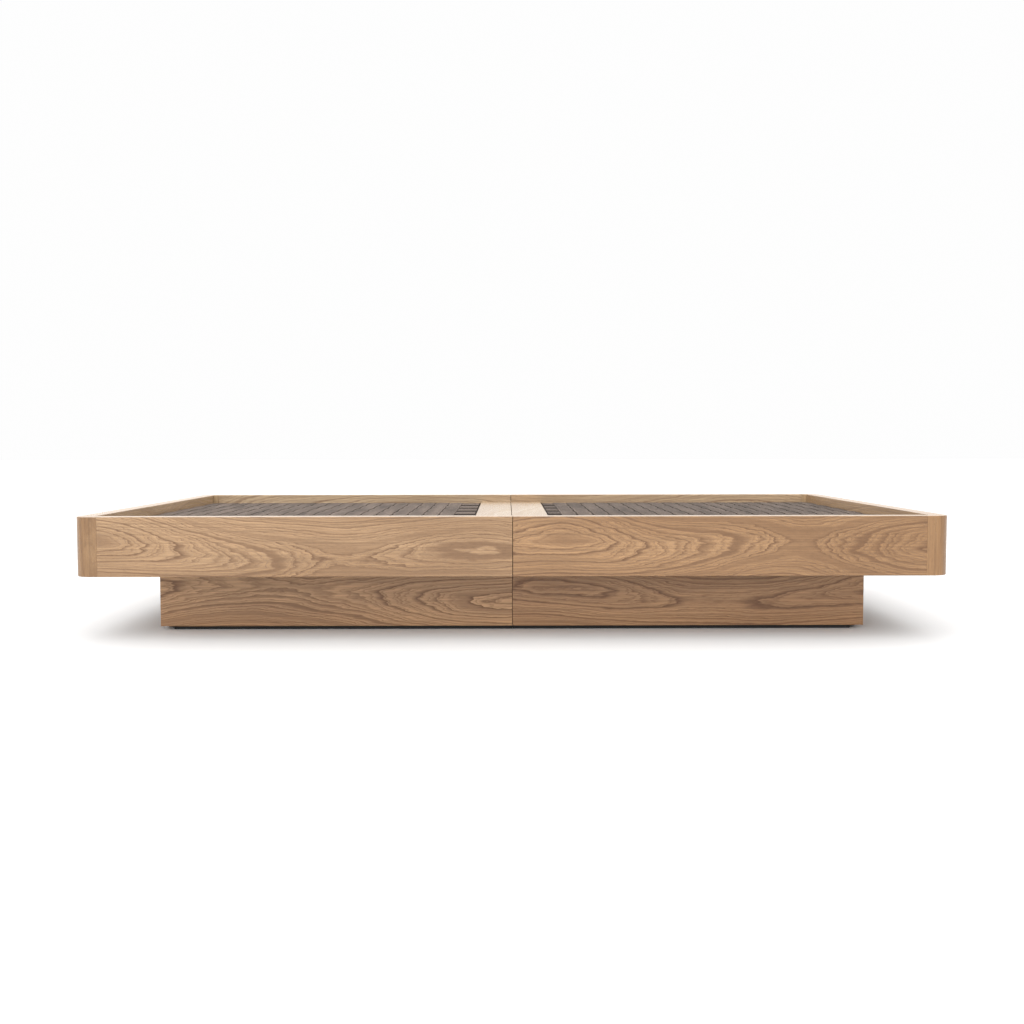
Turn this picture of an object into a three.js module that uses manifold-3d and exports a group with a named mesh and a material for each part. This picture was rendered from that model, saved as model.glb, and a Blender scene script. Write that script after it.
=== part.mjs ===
// A low platform bed in oak, made as two halves that meet at mid-length.
//
// Each half is a tray on a plinth. The tray's rails stand above a deck of woven
// webbing and hold the mattress in a shallow recess. The plinth is set back
// under the tray and stands on thin black base strips. Two hand-turned knob
// screws and two dowels hold the halves together.
//
// Units are millimetres and +Z is up. The origin is on the floor under the
// centre of the bed, X runs along its length, and its front long side faces -Y.

import * as THREE from 'three';
import { mergeVertices } from 'three/addons/utils/BufferGeometryUtils.js';
import Module from 'manifold-3d';

const wasm = await Module();
wasm.setup();

// ---- Driving dimensions ----

// The mattress and the recess that holds it
const mattressLength = 2000;
const mattressWidth = 1100;
const mattressClearance = 18; // between the mattress and the rails, all round
const recessDepth = 25; // from the rim down to the webbing

// The tray's rails and corner posts
const railThickness = 40;
const railHeight = 145;
const cornerArm = 58; // how far a corner post reaches along each rail
const cornerRadius = 38;
const edgeChamfer = 1.5;

// The plinth under the tray
const plinthRecess = 160; // set back from the tray, all round
const plinthHeight = 145;
const plinthThickness = 30;
const baseHeight = 9;
const baseWidth = 16;
const baseSetback = 7; // from the plinth's outer face
const baseEndSetback = 32; // from the plinth's corners

// The seam between the halves
const seamGap = 1.5; // between the visible ends of the two halves
const touchGap = 0.3; // between pieces that rest on or butt against each other

// The deck
const webbingThickness = 5; // two layers of strap where they cross
const webbingMargin = 2; // round the webbing
const centreBoardWidth = 100;
const centreBoardThickness = 18;

// The battens under the deck
const centreRailThickness = 36;
const cleatWidth = 30;
const cleatHeight = 45;
const bearerWidth = 70;
const bearerHeight = 60;
const bearerRebate = 21; // the width of the ledge that the centre board lies on
const joistWidth = 40;
const joistHeight = 60;
const joistInset = 2; // of the outer joist from the plinth's end face
const middleJoistPlace = 450; // its centre, from the seam
const battenChamfer = 1;

// The hardware that joins the halves
const screwRadius = 4;
const screwReach = 25; // of its tip past the seam
const screwClearance = 0.5;
const screwHeight = 26; // of its axis above the tray's underside
const insertRadius = 6.5;
const insertLength = 26;
const knobRadius = 20; // to the middle of its lobes
const knobLobe = 2; // how far the lobes swell out and in
const knobLobes = 6;
const knobThickness = 14;
const collarRadius = 9;
const collarLength = 6;
const dowelRadius = 5;
const dowelReach = 18; // into each half
const dowelClearance = 0.3;
const dowelPlace = 300; // from the bed's long centreline
const dowelHeight = 52; // of its axis above the tray's underside

// ---- Values that follow from them ----

const recessLength = mattressLength + 2 * mattressClearance;
const recessWidth = mattressWidth + 2 * mattressClearance;
const trayLength = recessLength + 2 * railThickness;
const trayWidth = recessWidth + 2 * railThickness;
const halfLength = trayLength / 2;
const halfWidth = trayWidth / 2;
const innerLength = recessLength / 2;
const innerWidth = recessWidth / 2;

const plinthBottom = baseHeight;
const trayBottom = plinthBottom + plinthHeight;
const rimTop = trayBottom + railHeight;
const deckTop = rimTop - recessDepth;
const webbingBottom = deckTop - webbingThickness;
const cleatTop = webbingBottom - touchGap;
const boardBottom = deckTop - centreBoardThickness;

const plinthLength = halfLength - plinthRecess; // of one half, from the seam
const plinthWidth = halfWidth - plinthRecess; // from the long centreline
const seam = seamGap / 2;
const contact = touchGap / 2; // the faces of the two halves that do touch
const boardEdge = seam + centreBoardWidth;
const bearerNear = boardEdge - bearerRebate;
const bearerFar = bearerNear + bearerWidth;
const cleatInner = innerWidth - touchGap - cleatWidth;
const screwPlace = (innerWidth + plinthWidth) / 2; // reached from below, past the plinth
const screwAxis = trayBottom + screwHeight;
const dowelAxis = trayBottom + dowelHeight;

// ---- Materials ----

const finish = (color, roughness, metalness = 0) =>
  new THREE.MeshStandardMaterial({ color, roughness, metalness });

const oakRail = finish(0xb89878, 0.5);
const oakPost = finish(0xc29c74, 0.5);
const oakBoard = finish(0xe2cfb8, 0.55);
const oakPlinth = finish(0xab8a6a, 0.5);
const battenWood = finish(0xcdb08a, 0.7);
const strapWeave = finish(0x6f655d, 0.9);
const baseBlack = finish(0x1b1a19, 0.8);
const screwSteel = finish(0x9a9b9d, 0.35, 0.9);
const insertBrass = finish(0xb08d4a, 0.4, 0.9);
const dowelBeech = finish(0xd8b98c, 0.6);

// ---- Solids ----

function toSolid(geometry) {
  const bare = geometry.clone();
  bare.deleteAttribute('normal');
  bare.deleteAttribute('uv');
  const merged = mergeVertices(bare, 1e-4);
  return new wasm.Manifold(
    new wasm.Mesh({
      numProp: 3,
      vertProperties: new Float32Array(merged.attributes.position.array),
      triVerts: new Uint32Array(merged.index.array),
    }),
  );
}

function toGeometry(solid) {
  const mesh = solid.getMesh();
  const geometry = new THREE.BufferGeometry();
  geometry.setAttribute('position', new THREE.BufferAttribute(mesh.vertProperties, 3));
  geometry.setIndex(new THREE.BufferAttribute(mesh.triVerts, 1));
  geometry.computeVertexNormals();
  return geometry;
}

function cut(geometry, tools) {
  return toGeometry(tools.reduce((solid, tool) => solid.subtract(toSolid(tool)), toSolid(geometry)));
}

function join(geometries) {
  const [first, ...others] = geometries.map(toSolid);
  return toGeometry(others.reduce((solid, other) => solid.add(other), first));
}

// A shape drawn through points given as [x, y]
function outline(points) {
  return new THREE.Shape(points.map(([x, y]) => new THREE.Vector2(x, y)));
}

// A rectangle about the origin with its four corners cut off
function chamferedRectangle(width, height, chamfer) {
  const x = width / 2;
  const y = height / 2;
  const c = chamfer;
  return outline([
    [x - c, -y], [x, c - y], [x, y - c], [x - c, y],
    [c - x, y], [-x, y - c], [-x, c - y], [c - x, -y],
  ]);
}

// Turns an extrusion that runs along Z so that it runs along another axis
const turnTo = {
  x: (geometry) => geometry.rotateY(Math.PI / 2),
  y: (geometry) => geometry.rotateX(-Math.PI / 2),
};

// A straight piece of timber along X or Y about the origin, chamfered along its length
function timber(axis, size, chamfer) {
  const across = { x: [size.z, size.y], y: [size.x, size.z] }[axis];
  const profile = chamferedRectangle(across[0], across[1], chamfer);
  const geometry = new THREE.ExtrudeGeometry(profile, { depth: size[axis], bevelEnabled: false });
  geometry.translate(0, 0, -size[axis] / 2);
  return turnTo[axis](geometry);
}

// A cylinder along X from one place to another
function cylinderAlongX(radius, fromX, toX, y = 0, z = 0) {
  const geometry = new THREE.CylinderGeometry(radius, radius, Math.abs(toX - fromX), 32);
  geometry.rotateZ(Math.PI / 2);
  return geometry.translate((fromX + toX) / 2, y, z);
}

// ---- Pieces ----

const bed = new THREE.Group();

function place(parent, name, geometry, material, position = new THREE.Vector3()) {
  const mesh = new THREE.Mesh(geometry, material);
  mesh.name = name;
  mesh.position.copy(position);
  parent.add(mesh);
  return mesh;
}

// A timber that fills a box given as its lowest and highest places on each axis
function placeTimber(parent, name, axis, box, material, chamfer = battenChamfer) {
  const size = {};
  const centre = new THREE.Vector3();
  for (const key of ['x', 'y', 'z']) {
    size[key] = box[key][1] - box[key][0];
    centre[key] = (box[key][0] + box[key][1]) / 2;
  }
  return place(parent, name, timber(axis, size, chamfer), material, centre);
}

// The corner post's outer corner is at its origin and its arms run along +X and +Y.
// It is made a little long and then cut, so its chamfer runs out through both ends.
function cornerPostGeometry() {
  const spare = 4 * edgeChamfer;
  const reach = cornerArm + spare;
  const plan = new THREE.Shape();
  plan.moveTo(cornerRadius, 0);
  plan.lineTo(reach, 0);
  plan.lineTo(reach, railThickness);
  plan.lineTo(railThickness, railThickness);
  plan.lineTo(railThickness, reach);
  plan.lineTo(0, reach);
  plan.lineTo(0, cornerRadius);
  plan.absarc(cornerRadius, cornerRadius, cornerRadius, Math.PI, 1.5 * Math.PI, false);
  const post = new THREE.ExtrudeGeometry(plan, {
    depth: railHeight - 2 * edgeChamfer,
    bevelThickness: edgeChamfer,
    bevelSize: edgeChamfer,
    bevelOffset: -edgeChamfer,
    bevelSegments: 1,
    curveSegments: 10,
  });
  post.translate(0, 0, edgeChamfer);
  const cutter = new THREE.BoxGeometry(2 * spare, 2 * spare + railThickness, 2 * railHeight);
  const alongX = cutter.clone().translate(cornerArm + spare, railThickness / 2, railHeight / 2);
  const alongY = cutter.clone().rotateZ(Math.PI / 2);
  alongY.translate(railThickness / 2, cornerArm + spare, railHeight / 2);
  return cut(post, [alongX, alongY]);
}

// The bearer's ledge faces the seam and carries the centre board's outer edge
function bearerGeometry(side, length) {
  const low = cleatTop - bearerHeight;
  const ledge = boardBottom - touchGap;
  const step = boardEdge + touchGap;
  const profile = [
    [bearerNear, low], [bearerFar, low], [bearerFar, cleatTop],
    [step, cleatTop], [step, ledge], [bearerNear, ledge],
  ].map(([x, z]) => [side * x, z]);
  const shape = outline(side > 0 ? profile : profile.reverse());
  const geometry = new THREE.ExtrudeGeometry(shape, { depth: length, bevelEnabled: false });
  geometry.translate(0, 0, -length / 2);
  return geometry.rotateX(Math.PI / 2);
}

// A plinth panel seen from above, with its ends cut to the corners' mitres
function plinthPanelGeometry(points) {
  return new THREE.ExtrudeGeometry(outline(points), { depth: plinthHeight, bevelEnabled: false });
}

function screwHoles(radius, side) {
  return [-1, 1].map((y) =>
    cylinderAlongX(radius, -side * seamGap, side * 2 * centreRailThickness, y * screwPlace, screwAxis));
}

function dowelHoles(side) {
  return [-1, 1].map((y) =>
    cylinderAlongX(
      dowelRadius + dowelClearance,
      -side * seamGap,
      side * (dowelReach + dowelClearance),
      y * dowelPlace,
      dowelAxis,
    ));
}

// side is -1 for the left half and 1 for the right one. Places along X are given
// as distances from the seam, and span() puts them on the half's own side.
function buildHalf(side) {
  const half = new THREE.Group();
  const prefix = side < 0 ? 'left' : 'right';
  const span = (near, far) => (side < 0 ? [-far, -near] : [near, far]);
  const named = (name) => `${prefix}_${name}`;

  buildTray(half, side, span, named);
  buildDeck(half, side, span, named);
  buildPlinth(half, side, span, named);
  return half;
}

function buildTray(half, side, span, named) {
  const railX = span(seam, halfLength - cornerArm - touchGap);
  const railZ = [trayBottom, rimTop];
  const endY = halfWidth - cornerArm - touchGap;

  for (const [name, y] of [['front_rail', -1], ['rear_rail', 1]]) {
    const across = [y * halfWidth, y * innerWidth].sort((a, b) => a - b);
    placeTimber(half, named(name), 'x', { x: railX, y: across, z: railZ }, oakRail, edgeChamfer);
  }
  const endRailBox = { x: span(innerLength, halfLength), y: [-endY, endY], z: railZ };
  placeTimber(half, named('end_rail'), 'y', endRailBox, oakRail, edgeChamfer);

  // Each post is the same piece, turned to its own corner
  const quarterTurns = { '-1,-1': 0, '1,-1': 1, '1,1': 2, '-1,1': 3 };
  for (const [name, y] of [['front_corner_post', -1], ['rear_corner_post', 1]]) {
    const corner = new THREE.Vector3(side * halfLength, y * halfWidth, trayBottom);
    const post = place(half, named(name), cornerPostGeometry(), oakPost, corner);
    post.rotation.z = (quarterTurns[`${side},${y}`] * Math.PI) / 2;
  }

  // The centre rail closes the tray at the seam, and the screws and dowels pass through it
  const railBox = {
    x: span(contact, contact + centreRailThickness),
    y: [touchGap - innerWidth, innerWidth - touchGap],
    z: [trayBottom + touchGap, boardBottom - touchGap],
  };
  const centreRail = placeTimber(half, named('centre_rail'), 'y', railBox, battenWood);
  const screwHole = side < 0 ? insertRadius + touchGap : screwRadius + screwClearance;
  const tools = [...screwHoles(screwHole, side), ...dowelHoles(side)];
  for (const tool of tools) {
    tool.translate(-centreRail.position.x, -centreRail.position.y, -centreRail.position.z);
  }
  centreRail.geometry = cut(centreRail.geometry, tools);

  // The joists carry the tray on the plinth
  const joistY = [touchGap - innerWidth, innerWidth - touchGap];
  const joistZ = [trayBottom + touchGap, trayBottom + touchGap + joistHeight];
  const outerFace = plinthLength - joistInset;
  const middle = middleJoistPlace - joistWidth / 2;
  const joists = {
    outer_joist: span(outerFace - joistWidth, outerFace),
    middle_joist: span(middle, middle + joistWidth),
  };
  for (const [name, x] of Object.entries(joists)) {
    placeTimber(half, named(name), 'y', { x, y: joistY, z: joistZ }, battenWood);
  }
}

function buildDeck(half, side, span, named) {
  const cleatZ = [cleatTop - cleatHeight, cleatTop];
  const cleatEnd = innerLength - touchGap;
  const cleatX = span(boardEdge + touchGap, cleatEnd);
  for (const [name, y] of [['front_cleat', -1], ['rear_cleat', 1]]) {
    const across = [y * (innerWidth - touchGap), y * cleatInner].sort((a, b) => a - b);
    placeTimber(half, named(name), 'x', { x: cleatX, y: across, z: cleatZ }, battenWood);
  }
  const between = cleatInner - touchGap;
  placeTimber(half, named('end_cleat'), 'y', {
    x: span(cleatEnd - cleatWidth, cleatEnd),
    y: [-between, between],
    z: cleatZ,
  }, battenWood);
  place(half, named('webbing_bearer'), bearerGeometry(side, 2 * between), battenWood);

  placeTimber(half, named('centre_board'), 'y', {
    x: span(seam, boardEdge),
    y: [touchGap - innerWidth, innerWidth - touchGap],
    z: [boardBottom, deckTop],
  }, oakBoard);
  placeTimber(half, named('webbing'), 'x', {
    x: span(boardEdge + webbingMargin, innerLength - webbingMargin),
    y: [webbingMargin - innerWidth, innerWidth - webbingMargin],
    z: [webbingBottom, deckTop],
  }, strapWeave);
}

function buildPlinth(half, side, span, named) {
  const inner = plinthThickness;
  const mitreGap = touchGap * Math.SQRT2; // measured along the plinth's side
  const panels = {};
  for (const [name, y] of [['plinth_front', -1], ['plinth_rear', 1]]) {
    panels[name] = [
      [seam, y * plinthWidth],
      [plinthLength, y * plinthWidth],
      [plinthLength - inner, y * (plinthWidth - inner)],
      [seam, y * (plinthWidth - inner)],
    ];
  }
  panels.plinth_end = [
    [plinthLength, mitreGap - plinthWidth],
    [plinthLength, plinthWidth - mitreGap],
    [plinthLength - inner, plinthWidth - inner - mitreGap],
    [plinthLength - inner, inner + mitreGap - plinthWidth],
  ];
  const up = new THREE.Vector3(0, 0, plinthBottom);
  for (const [name, points] of Object.entries(panels)) {
    const mirrored = points.map(([x, y]) => [side * x, y]);
    place(half, named(name), plinthPanelGeometry(mirrored), oakPlinth, up);
  }
  const panelY = plinthWidth - inner - touchGap;
  placeTimber(half, named('plinth_centre'), 'y', {
    x: span(contact, contact + plinthThickness),
    y: [-panelY, panelY],
    z: [plinthBottom, trayBottom],
  }, oakPlinth);

  // A black strip under each panel keeps the wood off the floor
  const baseZ = [0, baseHeight - touchGap];
  const baseOuter = plinthWidth - baseSetback;
  for (const [name, y] of [['base_front', -1], ['base_rear', 1]]) {
    const across = [y * baseOuter, y * (baseOuter - baseWidth)].sort((a, b) => a - b);
    const x = span(seam, plinthLength - baseEndSetback);
    placeTimber(half, named(name), 'x', { x, y: across, z: baseZ }, baseBlack);
  }
  const endOuter = plinthLength - baseSetback;
  const centreNear = contact + (plinthThickness - baseWidth) / 2;
  const baseY = plinthWidth - baseEndSetback - baseWidth;
  const strips = {
    base_end: span(endOuter - baseWidth, endOuter),
    base_centre: span(centreNear, centreNear + baseWidth),
  };
  for (const [name, x] of Object.entries(strips)) {
    placeTimber(half, named(name), 'y', { x, y: [-baseY, baseY], z: baseZ }, baseBlack);
  }
}

// A knob with soft lobes, a collar and a plain shank that reaches across the seam.
// Its origin is on its axis at the seam.
function knobScrewGeometry() {
  const steps = 12 * knobLobes;
  const points = [];
  for (let i = 0; i < steps; i += 1) {
    const angle = (2 * Math.PI * i) / steps;
    const radius = knobRadius + knobLobe * Math.cos(knobLobes * angle);
    points.push([radius * Math.cos(angle), radius * Math.sin(angle)]);
  }
  const soften = 2;
  const knob = new THREE.ExtrudeGeometry(outline(points), {
    depth: knobThickness - 2 * soften,
    bevelThickness: soften,
    bevelSize: soften,
    bevelOffset: -soften,
    bevelSegments: 2,
  });
  const face = contact + centreRailThickness + touchGap;
  knob.translate(0, 0, soften).rotateY(Math.PI / 2).translate(face + collarLength, 0, 0);
  const overlap = 1;
  const collar = cylinderAlongX(collarRadius, face, face + collarLength + overlap);
  const shank = cylinderAlongX(screwRadius, -screwReach, face + overlap);
  return join([knob, collar, shank]);
}

// A threaded sleeve in the left centre rail, flush with its face at the seam
function insertGeometry() {
  const sleeve = cylinderAlongX(insertRadius, -contact - insertLength, -contact);
  const bore = cylinderAlongX(screwRadius + screwClearance, -2 * insertLength, insertLength);
  return cut(sleeve, [bore]);
}

function buildHardware() {
  const hardware = new THREE.Group();
  for (const [where, y] of [['front', -1], ['rear', 1]]) {
    const onScrew = new THREE.Vector3(0, y * screwPlace, screwAxis);
    const onDowel = new THREE.Vector3(0, y * dowelPlace, dowelAxis);
    place(hardware, `${where}_knob_screw`, knobScrewGeometry(), screwSteel, onScrew);
    place(hardware, `${where}_insert_nut`, insertGeometry(), insertBrass, onScrew);
    const dowel = cylinderAlongX(dowelRadius, -dowelReach, dowelReach);
    place(hardware, `${where}_dowel`, dowel, dowelBeech, onDowel);
  }
  return hardware;
}

bed.add(buildHalf(-1), buildHalf(1), buildHardware());

export default bed;
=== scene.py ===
import math

import bmesh
import bpy
from mathutils import Matrix, Vector


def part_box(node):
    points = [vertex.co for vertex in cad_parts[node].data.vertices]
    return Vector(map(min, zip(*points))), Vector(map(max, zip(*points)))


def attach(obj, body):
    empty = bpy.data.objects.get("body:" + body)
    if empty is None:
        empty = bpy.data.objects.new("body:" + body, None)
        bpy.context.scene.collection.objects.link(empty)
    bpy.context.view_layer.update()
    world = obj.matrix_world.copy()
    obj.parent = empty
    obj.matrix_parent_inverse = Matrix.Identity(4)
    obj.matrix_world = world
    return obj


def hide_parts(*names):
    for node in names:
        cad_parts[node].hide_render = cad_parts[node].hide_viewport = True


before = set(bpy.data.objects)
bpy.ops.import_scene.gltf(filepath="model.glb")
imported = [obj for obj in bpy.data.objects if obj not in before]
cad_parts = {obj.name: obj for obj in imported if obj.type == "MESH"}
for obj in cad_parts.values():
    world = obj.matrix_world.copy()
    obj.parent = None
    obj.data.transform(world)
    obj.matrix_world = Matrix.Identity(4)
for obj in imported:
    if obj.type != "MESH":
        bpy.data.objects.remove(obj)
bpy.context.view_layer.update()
print("bed frame loaded:", len(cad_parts), "nodes")

scene = bpy.context.scene
scene.view_settings.view_transform = "Standard"
halves = {"left": -1, "right": 1}


# Camera

viewFromFront = {
    "place": (-0.0144, -3.342, 0.4724),
    "lens": 40.08,
    "downTilt": 3.407,
    "turn": -0.275,
    "lean": 0.08,
}

bpy.ops.object.select_all(action="DESELECT")
bpy.ops.object.camera_add(
    location=viewFromFront["place"],
    rotation=(
        math.radians(90 - viewFromFront["downTilt"]),
        math.radians(viewFromFront["lean"]),
        math.radians(viewFromFront["turn"]),
    ),
)
camera = bpy.context.object
camera.name = "frontCamera"
camera.data.lens = viewFromFront["lens"]
camera.data.sensor_width = 36
scene.camera = camera


# Small helpers for node trees

def addNode(tree, kind, place, sockets=None, **settings):
    node = tree.nodes.new(kind)
    node.location = place
    for key, value in settings.items():
        setattr(node, key, value)
    for key, value in (sockets or {}).items():
        node.inputs[key].default_value = value
    return node


def mathNode(tree, operation, place, first, second=None, clamp=False):
    node = addNode(tree, "ShaderNodeMath", place, operation=operation, use_clamp=clamp)
    for index, value in enumerate((first, second)):
        if value is None:
            continue
        if isinstance(value, (int, float)):
            node.inputs[index].default_value = value
        else:
            tree.links.new(value, node.inputs[index])
    return node.outputs[0]


def addRamp(tree, place, source, stops):
    node = addNode(tree, "ShaderNodeValToRGB", place)
    elements = node.color_ramp.elements
    while len(elements) < len(stops):
        elements.new(0.5)
    for element, (position, value) in zip(elements, stops):
        element.position = position
        element.color = (*value, 1) if isinstance(value, tuple) else (value, value, value, 1)
    tree.links.new(source, node.inputs["Fac"])
    return node.outputs["Color"]


def mixColours(tree, place, factor, first, second, blend="MIX"):
    node = addNode(tree, "ShaderNodeMix", place, data_type="RGBA", blend_type=blend)
    factorSocket, firstSocket, secondSocket = node.inputs[0], node.inputs[6], node.inputs[7]
    for socket, value in ((factorSocket, factor), (firstSocket, first), (secondSocket, second)):
        if isinstance(value, (int, float)):
            socket.default_value = value
        elif isinstance(value, tuple):
            socket.default_value = (*value, 1)
        else:
            tree.links.new(value, socket)
    return node.outputs[2]


def stretchedNoise(tree, place, vector, stretch, detail=2.0, roughness=0.5):
    scaled = addNode(tree, "ShaderNodeVectorMath", place, operation="MULTIPLY")
    scaled.inputs[1].default_value = stretch
    tree.links.new(vector, scaled.inputs[0])
    noise = addNode(
        tree, "ShaderNodeTexNoise", (place[0] + 180, place[1]),
        {"Scale": 1.0, "Detail": detail, "Roughness": roughness},
    )
    tree.links.new(scaled.outputs[0], noise.inputs["Vector"])
    return noise


def newMaterial(name):
    material = bpy.data.materials.new(name)
    material.use_nodes = True
    tree = material.node_tree
    shader = tree.nodes["Principled BSDF"]
    shader.location = (900, 0)
    tree.nodes["Material Output"].location = (1200, 0)
    coordinates = addNode(tree, "ShaderNodeTexCoord", (-1100, 0))
    return material, tree, shader, coordinates.outputs


def addBump(tree, place, height, shader, strength, distance):
    bump = addNode(tree, "ShaderNodeBump", place, {"Strength": strength, "Distance": distance})
    tree.links.new(height, bump.inputs["Height"])
    tree.links.new(bump.outputs[0], shader.inputs["Normal"])


def newGroup(name, inputs, outputs):
    group = bpy.data.node_groups.new(name, "ShaderNodeTree")
    for label, kind, value in inputs:
        socket = group.interface.new_socket(name=label, in_out="INPUT", socket_type=kind)
        if value is not None:
            socket.default_value = value
    for label, kind in outputs:
        group.interface.new_socket(name=label, in_out="OUTPUT", socket_type=kind)
    start = addNode(group, "NodeGroupInput", (-1800, 0))
    end = addNode(group, "NodeGroupOutput", (1800, 0))
    return group, start.outputs, end.inputs


# Oak grain. The vector runs along the grain on X, across the face on Y and into the wood on Z.
# Growth rings lie round a pith that wanders under the face, so flat faces show arches and ovals.

grainFigure = {
    # how often each kind of mark comes along the grain, across it and into the wood
    "shake": (13, 80, 80), "path": (1.35, 1.2, 1.2), "ripples": (7, 36, 36), "tone": (1.6, 9, 9),
    "streaks": (3.2, 260, 260), "fibres": (28, 1100, 1100), "pores": (70, 1900, 1900),
    "pathSway": 0.16,  # how far the pith strays sideways
    "leastDepth": 0.01732,  # the pith itself never comes to the face
    "rippleHeight": 0.009, "unevenYears": 1.6,
    "palestRing": 0.62, "ringRange": 0.38,
    "ringProfile": [(0.0, 0.15), (0.08, 1.0), (0.28, 0.60), (0.5, 0.15), (1.0, 0.0)],
    "faintPerRing": 2.6,
    "faintProfile": [(0.0, 0.1), (0.15, 0.52), (0.45, 0.14), (1.0, 0.0)],
    "poreCut": [(0.57, 0.0), (0.66, 1.0)],
    "poresBetween": 0.2,  # pores crowd in the rings, and few lie between them
}


def makeOakGrain():
    group, given, result = newGroup(
        "oakGrain",
        [
            ("Vector", "NodeSocketVector", None),
            ("Ring Width", "NodeSocketFloat", 0.006),
            ("Pith Depth", "NodeSocketFloat", 0.05),
            ("Wander", "NodeSocketFloat", 0.2),
            ("Jag", "NodeSocketFloat", 0.03),
        ],
        [
            ("Rings", "NodeSocketFloat"),
            ("Streaks", "NodeSocketFloat"),
            ("Fibres", "NodeSocketFloat"),
            ("Pores", "NodeSocketFloat"),
            ("Tone", "NodeSocketFloat"),
        ],
    )
    links = group.links

    # Ragged arch tips: the place along the grain is shaken a little
    shake = stretchedNoise(group, (-1600, -300), given["Vector"], grainFigure["shake"], detail=2.5)
    shaken = mathNode(group, "SUBTRACT", (-1240, -300), shake.outputs["Fac"], 0.5)
    shaken = mathNode(group, "MULTIPLY", (-1080, -300), shaken, given["Jag"])
    shift = addNode(group, "ShaderNodeCombineXYZ", (-920, -300))
    links.new(shaken, shift.inputs["X"])
    moved = addNode(group, "ShaderNodeVectorMath", (-760, -200), operation="ADD")
    links.new(given["Vector"], moved.inputs[0])
    links.new(shift.outputs[0], moved.inputs[1])
    ragged = moved.outputs[0]

    # The pith's path under the face
    path = stretchedNoise(group, (-600, -200), ragged, grainFigure["path"], detail=1.0)
    parts = addNode(group, "ShaderNodeSeparateColor", (-240, -200))
    links.new(path.outputs["Color"], parts.inputs[0])
    sideways = mathNode(group, "SUBTRACT", (-80, -100), parts.outputs[0], 0.5)
    sideways = mathNode(group, "MULTIPLY", (80, -100), sideways, grainFigure["pathSway"])
    depth = mathNode(group, "SUBTRACT", (-80, -280), parts.outputs[1], 0.5)
    depth = mathNode(group, "MULTIPLY", (80, -280), depth, given["Wander"])
    depth = mathNode(group, "ADD", (240, -280), depth, given["Pith Depth"])

    places = addNode(group, "ShaderNodeSeparateXYZ", (-600, 200))
    links.new(given["Vector"], places.inputs[0])
    across = mathNode(group, "SUBTRACT", (240, 0), places.outputs["Y"], sideways)
    down = mathNode(group, "ADD", (400, -200), places.outputs["Z"], depth)
    across = mathNode(group, "ABSOLUTE", (320, 60), across)
    across = mathNode(group, "POWER", (400, 0), across, 2)
    down = mathNode(group, "ABSOLUTE", (480, -140), down)
    down = mathNode(group, "POWER", (560, -200), down, 2)
    apart = mathNode(group, "ADD", (620, -20), across, down)
    apart = mathNode(group, "ADD", (640, -60), apart, grainFigure["leastDepth"] ** 2)
    radius = mathNode(group, "SQRT", (720, -60), apart)

    # Uneven rings
    ripple = stretchedNoise(group, (400, -500), given["Vector"], grainFigure["ripples"], 4.0, 0.6)
    ripple = mathNode(group, "SUBTRACT", (760, -500), ripple.outputs["Fac"], 0.5)
    ripple = mathNode(group, "MULTIPLY", (900, -500), ripple, grainFigure["rippleHeight"])
    radius = mathNode(group, "ADD", (880, -60), radius, ripple)
    rings = mathNode(group, "DIVIDE", (1000, -60), radius, given["Ring Width"])
    years = addNode(
        group, "ShaderNodeTexNoise", (1000, -260),
        {"Scale": 0.55, "Detail": 1.0}, noise_dimensions="1D",
    )
    links.new(rings, years.inputs["W"])
    uneven = mathNode(group, "MULTIPLY", (1160, -260), years.outputs["Fac"], grainFigure["unevenYears"])
    rings = mathNode(group, "ADD", (1160, -60), rings, uneven)
    year = mathNode(group, "FLOOR", (1160, -400), rings)
    chance = addNode(group, "ShaderNodeTexWhiteNoise", (1320, -400), noise_dimensions="1D")
    links.new(year, chance.inputs["W"])
    weight = mathNode(group, "MULTIPLY", (1400, -400), chance.outputs["Value"], grainFigure["ringRange"])
    weight = mathNode(group, "ADD", (1480, -400), weight, grainFigure["palestRing"])
    part = mathNode(group, "FRACT", (1320, -60), rings)
    profile = addRamp(group, (1320, 120), part, grainFigure["ringProfile"])
    strong = mathNode(group, "MULTIPLY", (1500, 120), profile, weight)
    # fainter rings between the strong ones
    between = mathNode(group, "MULTIPLY", (1180, -600), rings, grainFigure["faintPerRing"])
    between = mathNode(group, "FRACT", (1320, -600), between)
    faint = addRamp(group, (1460, -600), between, grainFigure["faintProfile"])
    lines = mathNode(group, "MAXIMUM", (1650, 60), strong, faint)
    links.new(lines, result["Rings"])

    # Finer marks along the grain
    streaks = stretchedNoise(group, (-1600, 700), given["Vector"], grainFigure["streaks"], 4.0, 0.65)
    links.new(streaks.outputs["Fac"], result["Streaks"])
    fibres = stretchedNoise(group, (-1600, 500), given["Vector"], grainFigure["fibres"], 3.0, 0.6)
    links.new(fibres.outputs["Fac"], result["Fibres"])
    pores = stretchedNoise(group, (-1600, 300), given["Vector"], grainFigure["pores"], detail=1.0)
    specks = addRamp(group, (-1240, 300), pores.outputs["Fac"], grainFigure["poreCut"])
    porous = mathNode(group, "ADD", (1500, 240), lines, grainFigure["poresBetween"])
    specks = mathNode(group, "MULTIPLY", (1600, 300), specks, porous, clamp=True)
    links.new(specks, result["Pores"])
    tone = stretchedNoise(group, (-1600, 900), given["Vector"], grainFigure["tone"], detail=2.0)
    links.new(tone.outputs["Fac"], result["Tone"])
    return group


oakGrain = makeOakGrain()

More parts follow.
